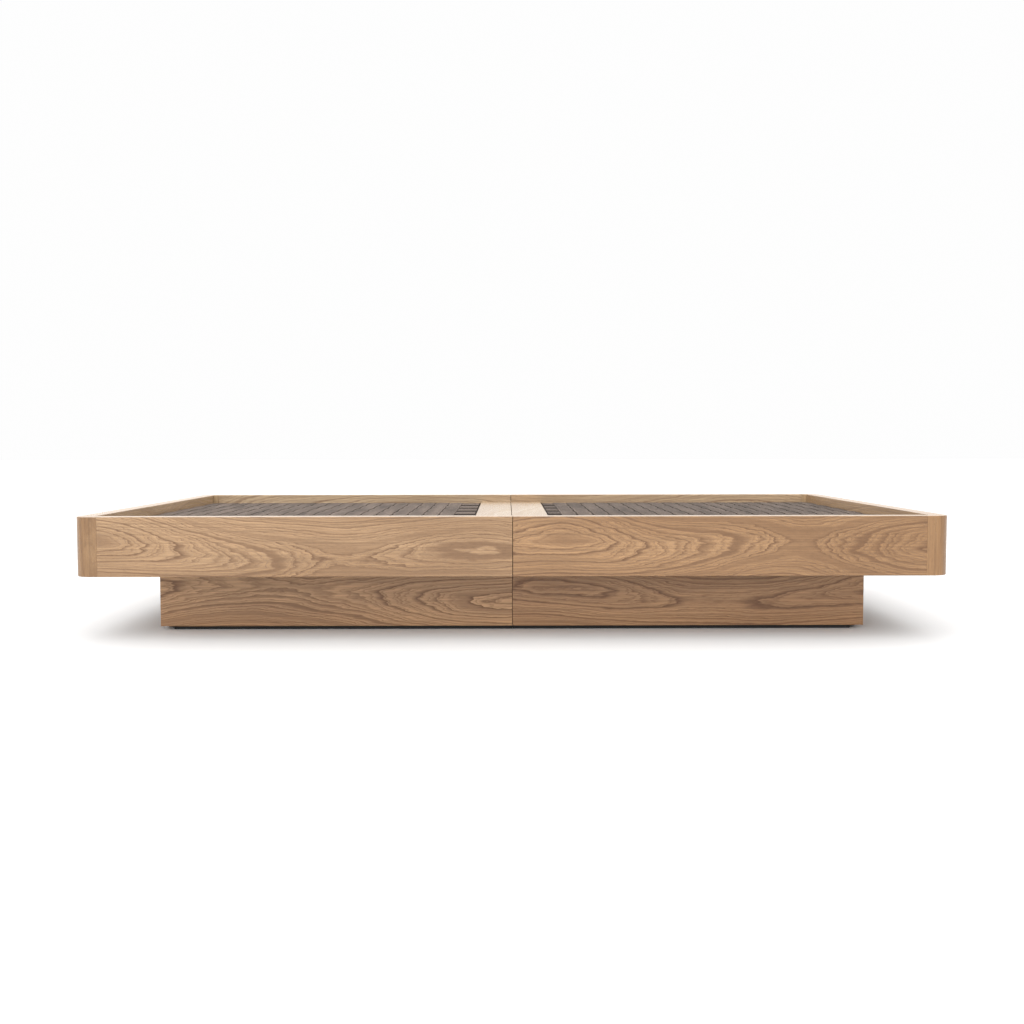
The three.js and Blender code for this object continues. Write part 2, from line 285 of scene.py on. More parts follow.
# How a piece's own grain axes lie: along the grain, across its main face, and into it
grainTurns = {
    "alongRail": Matrix(((1, 0, 0), (0, 0, 1), (0, -1, 0))),
    "alongEnd": Matrix(((0, 1, 0), (0, 0, 1), (1, 0, 0))),
    "acrossBed": Matrix(((0, 1, 0), (1, 0, 0), (0, 0, -1))),
    "upright": Matrix(((0, 0, 1), (1, 0, 0), (0, 1, 0))),
}

oakFinish = {
    # for rails and posts the last number sets how strongly upward faces are painted paler, a painted
    # highlight
    "rail": {
        "light": (0.478, 0.306, 0.168), "deep": (0.362, 0.219, 0.112), "line": (0.150, 0.072, 0.030),
        "lineStrength": 1.0, "ringWidth": 0.0046, "pithDepth": 0.07, "wander": 0.17, "jag": 0.04,
        "roughness": 0.25, "paintedTopLight": 0.5,
    },
    "post": {
        "light": (0.413, 0.256, 0.130), "deep": (0.312, 0.180, 0.087), "line": (0.181, 0.086, 0.032),
        "lineStrength": 0.55, "ringWidth": 0.0085, "pithDepth": 0.30, "wander": 0.05, "jag": 0.01,
        "roughness": 0.25, "paintedTopLight": 0.5,
    },
    "board": {
        "light": (0.473, 0.348, 0.220), "deep": (0.399, 0.275, 0.167), "line": (0.244, 0.145, 0.074),
        "lineStrength": 0.28, "ringWidth": 0.0070, "pithDepth": 0.16, "wander": 0.10, "jag": 0.02,
        "roughness": 0.24, "bump": 0.03, "fine": 0.25,
    },
    "plinth": {
        "light": (0.515, 0.307, 0.155), "deep": (0.376, 0.209, 0.100), "line": (0.138, 0.060, 0.023),
        "lineStrength": 1.0, "ringWidth": 0.0049, "pithDepth": 0.07, "wander": 0.15, "jag": 0.04,
        "roughness": 0.30,
    },
    "batten": {
        "light": (0.464, 0.326, 0.196), "deep": (0.377, 0.246, 0.138), "line": (0.261, 0.145, 0.065),
        "lineStrength": 0.45, "ringWidth": 0.0050, "pithDepth": 0.09, "wander": 0.10, "jag": 0.02,
        "roughness": 0.62,
    },
}

fineMarks = {
    "warmth": (0.10, 0.22),  # how much green and blue a warm board loses
    "streaks": (0.24, 0.16), "fibres": (0.12, 0.08),  # how much darker and paler they go
    "pores": 0.55, "poreColour": (0.12, 0.06, 0.03), "poreDepth": 1.5,
    "ringDullness": 0.14,
    # the pale colour below is painted on upward faces by their tilt, a painted highlight from the light
    # above
    "paintedTopColour": (0.68, 0.53, 0.39), "paintedTopTilt": (0.5, 0.95),
    "relief": 0.0004,
}


def oakMaterial(name, kind, turn, centre, shift, warmth=0.0, shade=1.0):
    # shift picks another part of the log, warmth leans the colour to orange
    look = oakFinish[kind]
    material, tree, shader, coordinates = newMaterial(name)
    rotation = grainTurns[turn]
    mapping = addNode(tree, "ShaderNodeMapping", (-900, 0))
    mapping.inputs["Rotation"].default_value = rotation.to_euler()
    mapping.inputs["Location"].default_value = Vector(shift) - rotation @ Vector(centre)
    tree.links.new(coordinates["Object"], mapping.inputs["Vector"])

    grain = addNode(tree, "ShaderNodeGroup", (-680, 0), node_tree=oakGrain)
    for label, key in (
        ("Ring Width", "ringWidth"), ("Pith Depth", "pithDepth"), ("Wander", "wander"), ("Jag", "jag"),
    ):
        grain.inputs[label].default_value = look[key]
    tree.links.new(mapping.outputs[0], grain.inputs["Vector"])

    def tinted(colour):
        red, green, blue = colour
        lessGreen, lessBlue = fineMarks["warmth"]
        green *= 1 - lessGreen * warmth
        blue *= 1 - lessBlue * warmth
        return (red * shade, green * shade, blue * shade)

    toneRamp = addRamp(tree, (-460, 240), grain.outputs["Tone"], [(0.33, 0.0), (0.67, 1.0)])
    body = mixColours(tree, (-180, 240), toneRamp, tinted(look["light"]), tinted(look["deep"]))
    fine = look.get("fine", 1.0)
    darker, paler = fineMarks["streaks"]
    streakStops = [(0.32, 1 - darker * fine), (0.68, 1 + paler * fine)]
    streaks = addRamp(tree, (-460, 0), grain.outputs["Streaks"], streakStops)
    body = mixColours(tree, (0, 200), 1.0, body, streaks, "MULTIPLY")
    darker, paler = fineMarks["fibres"]
    fibreStops = [(0.3, 1 - darker * fine), (0.7, 1 + paler * fine)]
    fibres = addRamp(tree, (-460, -240), grain.outputs["Fibres"], fibreStops)
    body = mixColours(tree, (180, 200), 1.0, body, fibres, "MULTIPLY")
    rings, pores = grain.outputs["Rings"], grain.outputs["Pores"]
    lineAmount = mathNode(tree, "MULTIPLY", (180, 0), rings, look["lineStrength"], clamp=True)
    body = mixColours(tree, (360, 200), lineAmount, body, tinted(look["line"]))
    poreAmount = mathNode(tree, "MULTIPLY", (360, 0), pores, fineMarks["pores"] * fine, clamp=True)
    body = mixColours(tree, (540, 200), poreAmount, body, tinted(fineMarks["poreColour"]))
    if "paintedTopLight" in look:
        # upward faces are painted paler, a painted highlight standing in for the light from above
        facing = addNode(tree, "ShaderNodeNewGeometry", (180, 520))
        upward = addNode(tree, "ShaderNodeSeparateXYZ", (360, 520))
        tree.links.new(facing.outputs["True Normal"], upward.inputs[0])
        tilted, level = fineMarks["paintedTopTilt"]
        paintedTopLight = addNode(
            tree, "ShaderNodeMapRange", (540, 520),
            {"From Min": tilted, "From Max": level, "To Min": 0.0, "To Max": look["paintedTopLight"]},
        )
        tree.links.new(upward.outputs["Z"], paintedTopLight.inputs["Value"])
        body = mixColours(tree, (700, 200), paintedTopLight.outputs["Result"], body, fineMarks["paintedTopColour"])
    tree.links.new(body, shader.inputs["Base Color"])

    glossStops = [(0.0, look["roughness"]), (1.0, look["roughness"] + fineMarks["ringDullness"])]
    gloss = addRamp(tree, (180, -200), rings, glossStops)
    tree.links.new(gloss, shader.inputs["Roughness"])
    sunk = mathNode(tree, "MULTIPLY", (240, -480), pores, fineMarks["poreDepth"])
    height = mathNode(tree, "SUBTRACT", (360, -420), grain.outputs["Fibres"], sunk)
    addBump(tree, (600, -360), height, shader, look.get("bump", 0.25), fineMarks["relief"])
    return material


# Helpers for shaping pieces

touching = 1e-5  # two places this near are one
smoothAngle = math.radians(40)


def addBlock(name, low, high):
    bpy.ops.object.select_all(action="DESELECT")
    bpy.ops.mesh.primitive_cube_add(size=1, location=(low + high) / 2)
    piece = bpy.context.object
    piece.name = name
    piece.data.name = name
    piece.scale = high - low
    bpy.ops.object.transform_apply(location=True, rotation=False, scale=True)
    return piece


def selectParts(piece, mode, isWanted):
    bpy.ops.object.mode_set(mode="EDIT")
    bpy.ops.mesh.select_mode(type=mode)
    bpy.ops.mesh.select_all(action="DESELECT")
    mesh = bmesh.from_edit_mesh(piece.data)
    for part in {"VERT": mesh.verts, "EDGE": mesh.edges}[mode]:
        part.select_set(isWanted(part))
    mesh.select_flush_mode()
    bmesh.update_edit_mesh(piece.data)


def edgeMiddle(edge):
    return (edge.verts[0].co + edge.verts[1].co) / 2


def runsAlong(edge, axis):
    return abs((edge.verts[0].co - edge.verts[1].co).normalized()[axis]) > 0.9


def smoothPiece(piece):
    # flat faces stay flat beside their rounded edges
    bpy.ops.object.mode_set(mode="OBJECT")
    bpy.ops.object.select_all(action="DESELECT")
    piece.select_set(True)
    bpy.context.view_layer.objects.active = piece
    bpy.ops.object.shade_smooth_by_angle(angle=smoothAngle)
    weighted = piece.modifiers.new("flatFaces", "WEIGHTED_NORMAL")
    weighted.keep_sharp = True
    bpy.ops.object.modifier_apply(modifier=weighted.name)


def finishPiece(piece, node, material, body):
    piece.data.materials.clear()
    piece.data.materials.append(material)
    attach(piece, body)
    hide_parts(node)


# Straight boards: rails, centre boards and plinth panels

edgeRounding = {"rail": 0.0016, "seamEnd": 0.0011, "board": 0.0012, "plinth": 0.0008, "segments": 3}


def roundEdges(piece, isWanted, radius):
    selectParts(piece, "EDGE", isWanted)
    bpy.ops.mesh.bevel(
        offset=radius, segments=edgeRounding["segments"], affect="EDGES", clamp_overlap=True,
    )
    bpy.ops.object.mode_set(mode="OBJECT")


def makeRail(name, node, axis, rounding):
    low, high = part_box(node)
    rail = addBlock(name, low, high)
    roundEdges(rail, lambda edge: runsAlong(edge, axis), rounding)
    smoothPiece(rail)
    return rail, (low + high) / 2


# where in the log each rail comes from
railBoards = {
    "left_front_rail": (1.77, 0.012, 0), "right_front_rail": (6.77, 0.012, 0),
    "left_rear_rail": (3.1, -0.01, 0), "right_rear_rail": (8.1, -0.01, 0),
    "left_end_rail": (7.0, 0.005, 0), "right_end_rail": (15.0, 0.005, 0),
}
# warmth and shade of the outer faces, and of the faces inside the recess, which are painted paler as
# painted light
outerTints = {"left": (0.10, 1.02), "right": (0.95, 0.88)}
paintedInnerTints = {
    ("left", "rear"): (-1.7, 1.38), ("right", "rear"): (-1.4, 1.32),
    ("left", "end"): (-1.2, 1.68), ("right", "end"): (-0.7, 1.36),
}


def paintLightInside(piece, material, inward):
    # the faces that look into the recess, level ones left out, get their own oak painted paler, painted
    # light
    piece.data.materials.append(material)
    for face in piece.data.polygons:
        if max(face.normal.dot(way) for way in inward) > 0.7:
            face.material_index = 1


for node, shift in railBoards.items():
    side, place, _ = node.split("_")
    axis, turn = (1, "alongEnd") if place == "end" else (0, "alongRail")
    label = side + place.capitalize() + "Rail"
    rail, centre = makeRail(label, node, axis, edgeRounding["rail"])
    if place != "end":
        low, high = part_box(node)
        seam = high.x if side == "left" else low.x
        roundEdges(rail, lambda edge: runsAlong(edge, 2) and abs(edgeMiddle(edge).x - seam) < touching,
                   edgeRounding["seamEnd"])
        smoothPiece(rail)
    oak = oakMaterial(label + "Oak", "rail", turn, centre, shift, *outerTints[side])
    finishPiece(rail, node, oak, side + "_half")
    # rear and end rails get their inner faces painted paler, painted light in the recess
    if place != "front":
        paintedLightOak = oakMaterial(label + "PaintedLightInside", "rail", turn, centre, shift, *paintedInnerTints[side, place])
        inward = Vector((0, -1, 0)) if place == "rear" else Vector((-halves[side], 0, 0))
        paintLightInside(rail, paintedLightOak, [inward])
print("rails shaped")


cornerPost = {
    "arm": 0.058, "wall": 0.040, "round": 0.038, "roundSteps": 14,
    "log": (2.3, 0.02, 0.7),  # where in the log, turned by side and end
}


def makePost(name, node, sign, back):
    # drawn from its outer corner: a square, its two arms, the rounding, then pulled up to height
    low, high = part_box(node)
    outer = Vector((high.x if sign > 0 else low.x, high.y if back > 0 else low.y, low.z))
    wall = cornerPost["wall"]
    inward = Vector((-sign, -back, 0))
    bpy.ops.object.select_all(action="DESELECT")
    bpy.ops.mesh.primitive_plane_add(size=wall, location=outer + inward * (wall / 2))
    post = bpy.context.object
    post.name = name
    post.data.name = name
    bpy.ops.object.transform_apply(location=True, rotation=False, scale=True)
    arm = cornerPost["arm"] - wall
    for axis in (0, 1):
        other = 1 - axis
        armRoot = outer + inward * (wall / 2)
        armRoot[axis] = (outer + inward * wall)[axis]
        selectParts(post, "EDGE", lambda edge: abs(edgeMiddle(edge)[axis] - armRoot[axis]) < touching
                    and abs(edgeMiddle(edge)[other] - armRoot[other]) < touching)
        pull = [0, 0, 0]
        pull[axis] = inward[axis] * arm
        bpy.ops.mesh.extrude_region_move(TRANSFORM_OT_translate={"value": pull})
        bpy.ops.object.mode_set(mode="OBJECT")
    selectParts(post, "VERT", lambda vert: (vert.co - outer).length < touching)
    bpy.ops.mesh.bevel(offset=cornerPost["round"], segments=cornerPost["roundSteps"], affect="VERTICES")
    bpy.ops.mesh.select_all(action="SELECT")
    bpy.ops.mesh.extrude_region_move(TRANSFORM_OT_translate={"value": (0, 0, high.z - low.z)})
    bpy.ops.mesh.select_all(action="SELECT")
    bpy.ops.mesh.normals_make_consistent(inside=False)
    bpy.ops.object.mode_set(mode="OBJECT")
    ends = outer + inward * cornerPost["arm"]

    def isRim(edge):
        middle = edgeMiddle(edge)
        level = min(abs(middle.z - low.z), abs(middle.z - high.z)) < touching
        onJoint = abs(middle.x - ends.x) < touching or abs(middle.y - ends.y) < touching
        first, second = edge.link_faces
        withinFace = abs(first.normal.dot(second.normal)) > 0.9
        return level and not onJoint and not withinFace

    roundEdges(post, isRim, edgeRounding["rail"])
    smoothPiece(post)
    return post, (low + high) / 2


postTints = {"left": (0.4, 0.86), "right": (0.7, 0.93)}

for side, sign in halves.items():
    for place, back in (("front", -1), ("rear", 1)):
        node = f"{side}_{place}_corner_post"
        label = side + place.capitalize() + "Post"
        post, centre = makePost(label, node, sign, back)
        along, across, deep = cornerPost["log"]
        shift = (along * sign, across * back, deep * back)
        oak = oakMaterial(label + "Oak", "post", "upright", centre, shift, *postTints[side])
        finishPiece(post, node, oak, side + "_half")
        # the rear post's inner faces are painted paler like the rails', painted light in the recess
        if place == "rear":
            tint = paintedInnerTints[side, place]
            paintedLightOak = oakMaterial(label + "PaintedLightInside", "post", "upright", centre, shift, *tint)
            paintLightInside(post, paintedLightOak, [Vector((0, -1, 0)), Vector((-sign, 0, 0))])
print("corner posts shaped")


centreBoards = {"left": (4, -0.03, 0), "right": (8, 0.03, 0)}

for side, shift in centreBoards.items():
    node = side + "_centre_board"
    board, centre = makeRail(side + "CentreBoard", node, 1, edgeRounding["board"])
    oak = oakMaterial(side + "BoardOak", "board", "acrossBed", centre, shift)
    finishPiece(board, node, oak, side + "_half")
print("centre boards shaped")


def makePlinthPanel(name, node, axis, outerFace, miters):
    # a plain board whose inner long edge is drawn in at each mitred end
    low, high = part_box(node)
    panel = addBlock(name, low, high)
    depthAxis = 1 - axis
    thickness = high[depthAxis] - low[depthAxis]
    inner = low[depthAxis] if outerFace > 0 else high[depthAxis]
    for end in miters:
        tip = high[axis] if end > 0 else low[axis]
        selectParts(panel, "VERT", lambda vert: abs(vert.co[axis] - tip) < touching
                    and abs(vert.co[depthAxis] - inner) < touching)
        pull = [0, 0, 0]
        pull[axis] = -end * thickness
        bpy.ops.transform.translate(value=pull)
        bpy.ops.object.mode_set(mode="OBJECT")
    roundEdges(panel, lambda edge: runsAlong(edge, axis), edgeRounding["plinth"])
    smoothPiece(panel)
    return panel, (low + high) / 2


# each half's warmth and shade, and where in the log its panels come from
plinthBoards = {
    "left": {
        "tint": (0.25, 1.05),
        "front": (4.44, -0.02, 0), "rear": (4.2, 0.01, 0), "end": (4.7, 0, 0),
    },
    "right": {
        "tint": (0.7, 0.98),
        "front": (7.7, -0.02, 0), "rear": (10.2, 0.01, 0), "end": (10.7, 0, 0),
    },
}

for side, sign in halves.items():
    boards = plinthBoards[side]
    for place, axis, outerFace, miters, turn in (
        ("front", 0, -1, [sign], "alongRail"),
        ("rear", 0, 1, [sign], "alongRail"),
        ("end", 1, sign, [-1, 1], "alongEnd"),
    ):
        node = f"{side}_plinth_{place}"
        label = side + "Plinth" + place.capitalize()
        panel, centre = makePlinthPanel(label, node, axis, outerFace, miters)
        oak = oakMaterial(label + "Oak", "plinth", turn, centre, boards[place], *boards["tint"])
        finishPiece(panel, node, oak, side + "_half")
print("plinth panels shaped")


# Thin near-black strips on the left half's ends close the seam, a painted shadow in the gap

seamShadow = {
    "thickness": 0.0013, "setBack": 0.0025, "round": 0.0003,
    "dark": (0.010, 0.006, 0.004), "light": (0.030, 0.018, 0.011), "fuzz": (900, 900, 900),
    "roughness": 0.95, "specular": 0.1,
}


# near-black strips, a painted shadow standing in the seam gap
def seamShadowMaterial():
    material, tree, shader, coordinates = newMaterial("seamShadow")
    fuzz = stretchedNoise(tree, (-700, 0), coordinates["Object"], seamShadow["fuzz"], detail=3.0)
    colour = addRamp(
        tree, (-300, 0), fuzz.outputs["Fac"], [(0.3, seamShadow["dark"]), (0.7, seamShadow["light"])],
    )
    tree.links.new(colour, shader.inputs["Base Color"])
    shader.inputs["Roughness"].default_value = seamShadow["roughness"]
    shader.inputs["Specular IOR Level"].default_value = seamShadow["specular"]
    return material


seamShadowStrips = seamShadowMaterial()
for place in ("front_rail", "rear_rail", "plinth_front", "plinth_rear", "base_front", "base_rear"):
    low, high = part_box("left_" + place)
    back = seamShadow["setBack"]
    near = Vector((high.x, low.y + back, low.z + back))
    far = Vector((high.x + seamShadow["thickness"], high.y - back, high.z - back))
    strip = addBlock("seamShadow_" + place, near, far)
    roundEdges(strip, lambda edge: runsAlong(edge, 2), seamShadow["round"])
    smoothPiece(strip)
    strip.data.materials.append(seamShadowStrips)
    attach(strip, "left_half")
print("seam felt laid")


# Webbing: straps from front to rear, laid over pairs of lengthwise ones, on a dark sheet that is painted
# shade under the gaps

webbingStraps = {
    "width": 0.0400, "count": 19, "clearOfBoard": {"left": 0.060, "right": 0.038},
    "crossPairs": 7, "pairSpacing": 0.055, "crossWidth": 0.0515, "boardGap": 0.004,
    "thickness": 0.0015, "lowLayer": 0.0016, "topLayer": 0.0037, "dip": 0.0016,
    "crown": 0.0005, "crossCrown": 0.0002, "shadeSheetHeight": 0.0004, "shadeSheetThickness": 0.0005,
    "stepAlong": 0.014, "crossStepAlong": 0.047, "stepsAcross": 6,
    "shadeSheetStep": 0.05, "shadeSheetStepsAcross": 24,
    "cell": 0.050,  # each strap has its own cell of the weave, a little wider than the strap
    "cellShift": 7,  # and its weave starts at a place of its own
}

weaveFigure = {
    "fuzz": (1800, 1800, 1800), "fuzzRange": (0.8, 1.2), "fuzzHeight": 0.4,
    "tone": (3, 26, 3), "toneRange": (0.66, 1.30),
    "bump": 0.6, "relief": 0.0004,
}


def makeStrapWeave():
    # the vector runs along the strap on X and across it on Y, one cell to each strap
    group, given, result = newGroup(
        "strapWeave",
        [
            ("Vector", "NodeSocketVector", None),
            ("Yarns Per Metre", "NodeSocketFloat", 620.0),
            ("Cell Width", "NodeSocketFloat", 0.05),
        ],
        [
            ("Yarns", "NodeSocketFloat"),
            ("Fuzz", "NodeSocketFloat"),
            ("Tone", "NodeSocketFloat"),
            ("Edge", "NodeSocketFloat"),
        ],
    )
    links = group.links
    scaled = addNode(group, "ShaderNodeVectorMath", (-1400, 0), operation="SCALE")
    links.new(given["Vector"], scaled.inputs[0])
    links.new(given["Yarns Per Metre"], scaled.inputs["Scale"])
    places = addNode(group, "ShaderNodeSeparateXYZ", (-1200, 0))
    links.new(scaled.outputs[0], places.inputs[0])
    # ribs shift by half a yarn from one row to the next
    row = mathNode(group, "FLOOR", (-1000, -200), places.outputs["Y"])
    parity = mathNode(group, "MODULO", (-920, -260), row, 2)
    parity = mathNode(group, "MULTIPLY", (-840, -200), parity, 0.5)
    along = mathNode(group, "MULTIPLY", (-900, 60), places.outputs["X"], 0.5)
    along = mathNode(group, "ADD", (-760, 0), along, parity)
    along = mathNode(group, "FRACT", (-680, 0), along)
    along = mathNode(group, "MULTIPLY", (-600, 0), along, math.pi)
    roundAlong = mathNode(group, "SINE", (-520, 0), along)
    across = mathNode(group, "FRACT", (-840, -400), places.outputs["Y"])
    across = mathNode(group, "MULTIPLY", (-600, -400), across, math.pi)
    roundAcross = mathNode(group, "SINE", (-520, -400), across)
    yarns = mathNode(group, "MULTIPLY", (-360, -200), roundAlong, roundAcross)
    links.new(yarns, result["Yarns"])
    fuzz = stretchedNoise(group, (-1400, 400), given["Vector"], weaveFigure["fuzz"], detail=2.0)
    links.new(fuzz.outputs["Fac"], result["Fuzz"])
    tone = stretchedNoise(group, (-1400, 700), given["Vector"], weaveFigure["tone"], detail=2.0)
    links.new(tone.outputs["Fac"], result["Tone"])
    # how near a strap's edge the place is, from 0 at its middle to 1
    wide = addNode(group, "ShaderNodeSeparateXYZ", (-1400, -700))
    links.new(given["Vector"], wide.inputs[0])
    cell = mathNode(group, "DIVIDE", (-1200, -700), wide.outputs["Y"], given["Cell Width"])
    cell = mathNode(group, "FRACT", (-1040, -700), cell)
    offMiddle = mathNode(group, "SUBTRACT", (-880, -700), cell, 0.5)
    offMiddle = mathNode(group, "ABSOLUTE", (-720, -700), offMiddle)
    edge = mathNode(group, "MULTIPLY", (-560, -700), offMiddle, 2.0)
    links.new(edge, result["Edge"])
    return group


strapWeave = makeStrapWeave()

clothLooks = {
    "strap": {
        "light": (0.212, 0.161, 0.130), "dark": (0.052, 0.038, 0.030), "yarns": 620.0,
        "edge": [(0.50, 1.0), (0.64, 0.82), (0.70, 1.5), (0.77, 1.3), (0.80, 0.35)],  # a bright band near each edge is a painted highlight, and the dark at the very edge is painted shade
        "roughness": 0.75, "specular": 0.15,
    },
    # the dark sheet under the straps is painted shade for the gaps
    "shadeSheet": {
        "light": (0.080, 0.065, 0.057), "dark": (0.026, 0.020, 0.017), "yarns": 900.0,
        "edge": [(0.0, 1.0), (1.0, 1.0)], "roughness": 0.95, "specular": 0.05,
    },
}

clothShades = {"left": 1.0, "right": 0.85}


def clothMaterial(name, kind, shade):
    look = clothLooks[kind]
    material, tree, shader, coordinates = newMaterial(name)
    weave = addNode(tree, "ShaderNodeGroup", (-700, 0), node_tree=strapWeave)
    weave.inputs["Yarns Per Metre"].default_value = look["yarns"]
    weave.inputs["Cell Width"].default_value = webbingStraps["cell"]
    tree.links.new(coordinates["UV"], weave.inputs["Vector"])
    # colour goes dark where the yarns dip between one another, painted shade in the weave
    yarns = addRamp(tree, (-460, 200), weave.outputs["Yarns"], [(0.0, 0.0), (0.8, 1.0)])
    colour = mixColours(tree, (-180, 200), yarns, look["dark"], look["light"])
    darkest, palest = weaveFigure["toneRange"]
    toneStops = [(0.3, darkest * shade), (0.7, palest * shade)]
    tone = addRamp(tree, (-460, 0), weave.outputs["Tone"], toneStops)
    colour = mixColours(tree, (60, 200), 1.0, colour, tone, "MULTIPLY")
    darkest, palest = weaveFigure["fuzzRange"]
    fuzz = addRamp(tree, (-460, -220), weave.outputs["Fuzz"], [(0.3, darkest), (0.7, palest)])
    colour = mixColours(tree, (260, 200), 1.0, colour, fuzz, "MULTIPLY")
    # strap edges get a painted highlight and, at the very edge, painted shade
    edge = addRamp(tree, (-460, -440), weave.outputs["Edge"], look["edge"])
    colour = mixColours(tree, (460, 200), 1.0, colour, edge, "MULTIPLY")
    tree.links.new(colour, shader.inputs["Base Color"])
    shader.inputs["Roughness"].default_value = look["roughness"]
    shader.inputs["Specular IOR Level"].default_value = look["specular"]
    hairs = mathNode(tree, "MULTIPLY", (120, -260), weave.outputs["Fuzz"], weaveFigure["fuzzHeight"])
    height = mathNode(tree, "ADD", (260, -200), weave.outputs["Yarns"], hairs)
    addBump(tree, (460, -200), height, shader, weaveFigure["bump"], weaveFigure["relief"])
    return material


def addCloth(name, axis, middle, width, stops, steps, heightAt, crown, cell):
    # one flat strip along an axis, lifted where heightAt says and falling off to its edges
    columns = len(stops) - 1
    start = middle * webbingStraps["cellShift"]
    bpy.ops.object.select_all(action="DESELECT")
    bpy.ops.mesh.primitive_grid_add(x_subdivisions=columns, y_subdivisions=steps, size=1)
    cloth = bpy.context.object
    cloth.name = name
    layer = cloth.data.uv_layers.active
    for loop in cloth.data.loops:
        corner = cloth.data.vertices[loop.vertex_index].co
        along = start + stops[round((corner.x + 0.5) * columns)]
        across = (cell + 0.5) * webbingStraps["cell"] + corner.y * webbingStraps["width"]
        layer.data[loop.index].uv = (along, across)
    for vert in cloth.data.vertices:
        along = stops[round((vert.co.x + 0.5) * columns)]
        offset = vert.co.y * width
        lift = heightAt(along) - crown * (2 * vert.co.y) ** 2
        vert.co = (along, middle + offset, lift) if axis == 0 else (middle - offset, along, lift)
    return cloth


def finishCloth(name, side, made, kind, thickness):
    bpy.ops.object.select_all(action="DESELECT")
    for cloth in made:
        cloth.select_set(True)
    bpy.context.view_layer.objects.active = made[0]
    if len(made) > 1:
        bpy.ops.object.join()
    cloth = bpy.context.object
    cloth.name = name
    cloth.data.name = name
    thick = cloth.modifiers.new("clothThickness", "SOLIDIFY")
    thick.thickness = thickness
    thick.offset = 0
    bpy.ops.object.modifier_apply(modifier=thick.name)
    bpy.ops.object.shade_smooth_by_angle(angle=smoothAngle)
    material = clothMaterial(name + "Cloth", kind, clothShades[side])
    finishPiece(cloth, side + "_webbing", material, side + "_half")


def evenStops(start, stop, most):
    count = math.ceil(abs(stop - start) / most)
    return [start + (stop - start) * index / count for index in range(count + 1)]


def makeWebbing(side, sign):
    low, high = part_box(side + "_webbing")
    straps = webbingStraps
    near, far = (low.x, high.x) if sign > 0 else (high.x, low.x)
    width, length = abs(far - near), high.y - low.y
    count = straps["count"]
    pitch = (width - straps["clearOfBoard"][side]) / count
    pairPitch = length / straps["crossPairs"]

    def overPairs(y):
        # a strap rides high over each pair and dips in the open stretch between two
        between = 0.5 + 0.5 * math.cos(2 * math.pi * (y - low.y) / pairPitch)
        return low.z + straps["topLayer"] - straps["dip"] * between ** 2

    made = []
    stops = evenStops(low.y, high.y, straps["stepAlong"])
    for index in range(count):
        middle = far - sign * pitch * (index + 0.5)
        made.append(addCloth("strap", 1, middle, straps["width"], stops, straps["stepsAcross"],
                             overPairs, straps["crown"], index))
    finishCloth(side + "WebbingStraps", side, made, "strap", straps["thickness"])

    def lowLayer(x):
        return low.z + straps["lowLayer"]

    made = []
    stops = evenStops(near + sign * straps["boardGap"], far, straps["crossStepAlong"])
    for index in range(2 * straps["crossPairs"]):
        pair, second = divmod(index, 2)
        middle = low.y + pairPitch * (pair + 0.5) + straps["pairSpacing"] * (second - 0.5)
        made.append(addCloth("strap", 0, middle, straps["crossWidth"], stops, straps["stepsAcross"],
                             lowLayer, straps["crossCrown"], index))
    finishCloth(side + "WebbingCrossStraps", side, made, "strap", straps["thickness"])

    # a dark sheet under the straps, painted shade in the gaps between them
    def shadeSheetLayer(x):
        return low.z + straps["shadeSheetHeight"]

    stops = evenStops(low.x, high.x, straps["shadeSheetStep"])
    shadeSheet = addCloth("shadeSheet", 0, (low.y + high.y) / 2, length, stops, straps["shadeSheetStepsAcross"],
                      shadeSheetLayer, 0.0, 0)
    finishCloth(side + "WebbingShadeSheet", side, [shadeSheet], "shadeSheet", straps["shadeSheetThickness"])


for side, sign in halves.items():
    makeWebbing(side, sign)
print("webbing laid")


# Battens, base strips and fittings keep their shapes and get their finishes

def dressNode(name, material):
    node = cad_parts[name]
    node.data.materials.clear()
    node.data.materials.append(material)


baseLook = {
    "dark": (0.006, 0.006, 0.006), "light": (0.016, 0.015, 0.014), "specks": (300, 300, 300),
    "roughness": 0.8, "bump": 0.3, "relief": 0.0004,
}


def baseMaterial():
    material, tree, shader, coordinates = newMaterial("baseBlack")
    specks = stretchedNoise(tree, (-700, 0), coordinates["Object"], baseLook["specks"], detail=4.0)
    colour = addRamp(
        tree, (-300, 0), specks.outputs["Fac"], [(0.3, baseLook["dark"]), (0.7, baseLook["light"])],
    )
    tree.links.new(colour, shader.inputs["Base Color"])
    shader.inputs["Roughness"].default_value = baseLook["roughness"]
    addBump(tree, (-300, -300), specks.outputs["Fac"], shader, baseLook["bump"], baseLook["relief"])
    return material


baseBlack = baseMaterial()
for side, sign in halves.items():
    for node, turn, shift in (
        ("front_cleat", "alongRail", 1), ("rear_cleat", "alongRail", 3), ("end_cleat", "alongEnd", 5),
        ("centre_rail", "alongEnd", 7), ("outer_joist", "alongEnd", 9), ("middle_joist", "alongEnd", 11),
        ("webbing_bearer", "alongEnd", 13), ("plinth_centre", "alongEnd", 15),
    ):
        low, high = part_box(f"{side}_{node}")
        kind = "plinth" if node == "plinth_centre" else "batten"
        oak = oakMaterial(f"{side}_{node}_oak", kind, turn, (low + high) / 2, (shift * sign, 0, 0))
        dressNode(f"{side}_{node}", oak)
    for place in ("front", "rear", "end", "centre"):
        dressNode(f"{side}_base_{place}", baseBlack)
print("battens and base finished")


